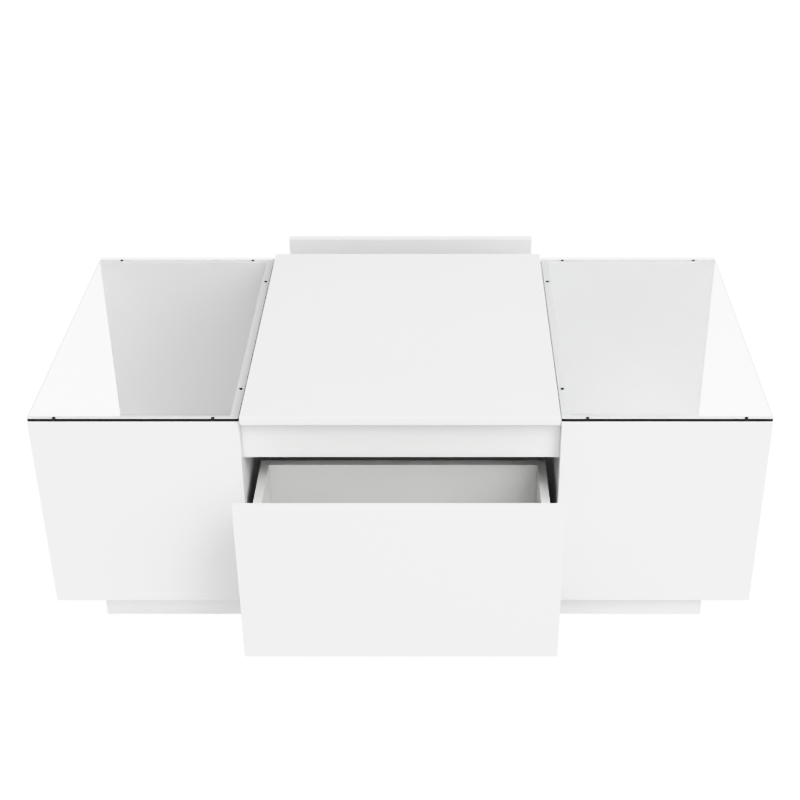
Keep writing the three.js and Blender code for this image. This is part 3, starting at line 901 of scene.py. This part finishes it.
def ball_cage(run, side, y_start, y_end):
    """The strips above and below a member, with their balls, as shapes and places."""
    near, far = run["in"]
    half_length = CAGE_LENGTH / 2 * MM
    half_width = (far - near) / 2 * MM
    outline = [(-half_width, -half_length), (half_width, -half_length)]
    outline += [(half_width, half_length), (-half_width, half_length)]
    strip = prism(outline, CAGE_THICKNESS * MM, soften=CAGE_SOFTEN * MM)
    x = BAY_HALF - (near + far) / 2
    middle = (y_start + y_end) / 2
    count = int(CAGE_LENGTH / BALL_PITCH) - 1  # none at the very ends
    strips = []
    balls = []
    for z in (SLIDE_Z - run["z"], SLIDE_Z + run["z"]):
        strips.append(Matrix.Translation(point(side, x, middle, z - CAGE_THICKNESS / 2)))
        for index in range(count):
            y = middle + (index - (count - 1) / 2) * BALL_PITCH
            balls.append(Matrix.Translation(point(side, x, y, z)))
    return [(strip, strips), (ball(BALL_RADIUS * MM), balls)]


def add_slide_details():
    """Each slide's ball cages, its screws and the black release lever in its drawer member."""
    wall_head = flat_head(WALL_SCREW_RADIUS * MM, WALL_SCREW_HEIGHT * MM)
    box_head = pan_head(BOX_SCREW_RADIUS * MM, BOX_SCREW_HEIGHT * MM)
    outline = [(x * MM, y * MM) for x, y in LEVER_OUTLINE]
    lever = prism(outline, LEVER_DEPTH * MM, soften=LEVER_SOFTEN * MM)
    for drawer, facing_out in FACES.items():
        inwards = -facing_out
        for side, sign in SIDES.items():
            name = f"{drawer}_{side}_slide"
            body = f"{drawer}_drawer"
            middle = f"{drawer}_slide_middle"
            outer, inner = slide_member(drawer, side, "middle_member")
            near_inner = inner - inwards * CAGE_END
            outer_cage = ball_cage(OUTER_RUN, side, near_inner - inwards * CAGE_LENGTH, near_inner)
            near_outer = outer + inwards * CAGE_END
            inner_cage = ball_cage(INNER_RUN, side, near_outer, near_outer + inwards * CAGE_LENGTH)
            add_piece(f"{name}_outer_balls", outer_cage, middle, "spring_steel")
            add_piece(f"{name}_inner_balls", inner_cage, middle, "spring_steel")
            on_wall = slide_screws(
                drawer, side, "cabinet_member", SLIDE_HOLES[::2], WALL_SCREW_IN, (-sign, 0, 0)
            )
            on_box = slide_screws(
                drawer, side, "drawer_member", SLIDE_HOLES[1::2], BOX_SCREW_IN, (sign, 0, 0)
            )
            add_piece(f"{name}_wall_screws", [(wall_head, on_wall)], "root", "zinc_steel")
            add_piece(f"{name}_box_screws", [(box_head, on_box)], body, "zinc_steel")
            box_outer, _ = slide_member(drawer, side, "drawer_member")
            at = point(side, BAY_HALF - LEVER_IN, box_outer + inwards * LEVER_FROM_END, SLIDE_Z)
            place = facing(at, (-sign, 0, 0), spin=0 if facing_out == sign else math.pi)
            levers = [(lever, [place])]
            add_piece(f"{name}_release_lever", levers, body, "black_plastic", "dark_rubber")


# ---------------------------------------------------------------------------------------------
# Board fittings
# ---------------------------------------------------------------------------------------------

BOARD = PANEL_HIGH.x - PANEL_LOW.x
FITTING_HEIGHT = 0.5
CAM_RADIUS = 7.5
CAM_INSET = 34.0  # from a joint to its cam's centre
BACK_CONNECTOR_RADIUS = 3.6
FITTING_FROM_BOTTOM = 32.0
FITTING_FROM_TOP = 24.0
BOTTOM_SCREW_RADIUS = 3.5
BOTTOM_SCREW_HEIGHT = 1.4
BOTTOM_SCREWS_X = (-160.0, 0.0, 160.0)


def add_drawer_fittings():
    """Connector heads at the back corners, cams behind the front, and screws under the bottom."""
    connector = socket_head(BACK_CONNECTOR_RADIUS * MM, FITTING_HEIGHT * MM)
    cam = cam_disc(CAM_RADIUS * MM, FITTING_HEIGHT * MM)
    screw = pan_head(BOTTOM_SCREW_RADIUS * MM, BOTTOM_SCREW_HEIGHT * MM)
    for drawer, facing_out in FACES.items():
        fittings = []
        for side, sign in SIDES.items():
            low, high = box_mm(f"{drawer}_drawer_{side}_side")
            face = max(abs(low.x), abs(high.x))
            front_end, back_end = (low.y, high.y) if drawer == "front" else (high.y, low.y)
            outwards = (sign, 0, 0)
            back_y = back_end + facing_out * BOARD / 2
            cam_y = front_end - facing_out * CAM_INSET
            heights = (low.z + FITTING_FROM_BOTTOM, high.z - FITTING_FROM_TOP)
            backs = [(point(side, face, back_y, z), outwards) for z in heights]
            cams = [(point(side, face, cam_y, z), outwards) for z in heights]
            fittings += [(connector, spun(backs)), (cam, spun(cams))]
        low, high = box_mm(f"{drawer}_drawer_back")
        middle_y = (low.y + high.y) / 2
        under = box_mm(f"{drawer}_drawer_bottom_panel")[0].z
        below = [(Vector((x, middle_y, under)) * MM, DOWN) for x in BOTTOM_SCREWS_X]
        fittings.append((screw, spun(below)))
        add_piece(f"{drawer}_drawer_fittings", fittings, f"{drawer}_drawer", "zinc_steel")


APRON_LOW, APRON_HIGH = box_mm("rear_apron")
FLOOR_LOW = box_mm("compartment_floor")[0]
CAP_RADIUS = 8.5
CAP_HEIGHT = 0.9
LOW_CAP_RAISE = 20.0  # lifts the corner caps clear of the row along the bottom
BOTTOM_ROW_Y = (-150.0, 0.0, 150.0)
APRON_CAP_Z = 382.0
FLOOR_CAP_Y = 200.0


def add_cover_caps():
    """White caps over the cams: in the side units, behind the aprons and under the floor."""
    cap = cover_cap(CAP_RADIUS * MM, CAP_HEIGHT * MM)
    end_y = PANEL_HIGH.y - CAM_INSET
    row_z = PANEL_LOW.z + CAM_INSET
    corner_x = BAY_HALF - CAM_INSET
    for side, sign in SIDES.items():
        places = []
        for y in (-end_y, end_y):
            for z in (row_z + LOW_CAP_RAISE, PANEL_HIGH.z - CAM_INSET):
                places.append((point(side, PANEL_HIGH.x, y, z), (sign, 0, 0)))
        for y in BOTTOM_ROW_Y:
            places.append((point(side, PANEL_HIGH.x, y, row_z), (sign, 0, 0)))
        for facing_out in FACES.values():
            behind = point(side, corner_x, facing_out * APRON_LOW.y, APRON_CAP_Z)
            places.append((behind, (0, -facing_out, 0)))
            below = point(side, corner_x, facing_out * FLOOR_CAP_Y, FLOOR_LOW.z)
            places.append((below, DOWN))
        caps = [(cap, spun(places))]
        add_piece(f"{side}_cam_caps", caps, "root", "white_plastic", "white_lacquer")


BUMPER_RADIUS = 4.5
BUMPER_HEIGHT = 1.8
BUMPER_X = 205.0


def add_bumpers():
    """Four low bumpers on the aprons, where the closed top comes down."""
    shape = bumper(BUMPER_RADIUS * MM, BUMPER_HEIGHT * MM)
    for name, facing_out in FACES.items():
        y = facing_out * (APRON_LOW.y + BOARD / 2)
        places = [facing(point(side, BUMPER_X, y, APRON_HIGH.z), UP) for side in SIDES]
        add_piece(f"{name}_top_bumpers", [(shape, places)], "root", "dark_rubber")


UNDERSIDE = box_mm("right_bottom_board")[0].z
BOARD_CONNECTOR_RADIUS = 4.2
INNER_JOINT_Y = (-210.0, -70.0, 70.0, 210.0)
OUTER_JOINT_X = (320.0, 440.0, 560.0)


def add_underside_connectors(side):
    """Connector heads under a bottom board, below the three panels that stand on it."""
    connector = socket_head(BOARD_CONNECTOR_RADIUS * MM, FITTING_HEIGHT * MM)
    inner_x = PANEL_HIGH.x - BOARD / 2
    heads = [(point(side, inner_x, y, UNDERSIDE), DOWN) for y in INNER_JOINT_Y]
    for facing_out in FACES.values():
        y = facing_out * (PANEL_HIGH.y + BOARD / 2)
        heads += [(point(side, x, y, UNDERSIDE), DOWN) for x in OUTER_JOINT_X]
    name = f"{side}_underside_connectors"
    add_piece(name, [(connector, spun(heads))], "root", "zinc_steel")


PLINTH_HIGH = box_mm("plinth_frame")[1]
BLOCK_GAP = 0.3  # from the plinth's boards
BLOCK_DROP = 1.0  # from the plinth's top
BLOCK_LEG = 42.0
BLOCK_HEIGHT = 36.0
BLOCK_SOFTEN = 0.8
BLOCK_SCREW_RADIUS = 3.8
BLOCK_SCREW_HEIGHT = 1.8
BLOCK_SCREWS_Z = (22.0, 40.0)


def add_plinth_blocks(side, sign):
    """A three-cornered block in each of a side's two plinth corners, with two screws."""
    screw = pan_head(BLOCK_SCREW_RADIUS * MM, BLOCK_SCREW_HEIGHT * MM)
    stand = Matrix.Translation(UP * (PLINTH_HIGH.z - BLOCK_DROP - BLOCK_HEIGHT) * MM)
    blocks = []
    screws = []
    for facing_out in FACES.values():
        x = sign * (PLINTH_HIGH.x - BOARD - BLOCK_GAP)
        y = facing_out * (PLINTH_HIGH.y - BOARD - BLOCK_GAP)
        outline = [(x, y), (x - sign * BLOCK_LEG, y), (x, y - facing_out * BLOCK_LEG)]
        flat = [(across * MM, along * MM) for across, along in outline]
        block = prism(flat, BLOCK_HEIGHT * MM, soften=BLOCK_SOFTEN * MM)
        blocks.append((block, [stand]))
        slant = Vector((-sign, -facing_out, 0)).normalized()
        middle = Vector((x - sign * BLOCK_LEG / 2, y - facing_out * BLOCK_LEG / 2, 0))
        screws += [((middle + UP * z) * MM, slant) for z in BLOCK_SCREWS_Z]
    add_piece(f"{side}_plinth_blocks", blocks, "root", "white_drawer_board")
    add_piece(f"{side}_plinth_block_screws", [(screw, spun(screws))], "root", "zinc_steel")


def add_underside():
    """What only shows from below: the bottom boards' connectors and the plinth's blocks."""
    for side, sign in SIDES.items():
        add_underside_connectors(side)
        add_plinth_blocks(side, sign)


# ---------------------------------------------------------------------------------------------
# Assembly
# ---------------------------------------------------------------------------------------------

set_colour_and_bounces()
make_camera()
make_sky()
make_key()
make_floor()

MATERIALS = {
    "white_lacquer": white_lacquer(),
    "white_drawer_board": white_foil(),
    "clear_glass": clear_glass(),
    "dark_rubber": dark_rubber(),
    "zinc_steel": zinc_steel(),
    "dark_steel": dark_steel(),
    "spring_steel": spring_steel(),
    "white_plastic": white_plastic(),
    "black_plastic": black_plastic(),
}
finish_model_pieces(MATERIALS)
add_springs()
add_pivot_hardware()
add_bracket_screws()
add_slide_details()
add_drawer_fittings()
add_cover_caps()
add_bumpers()
add_underside()
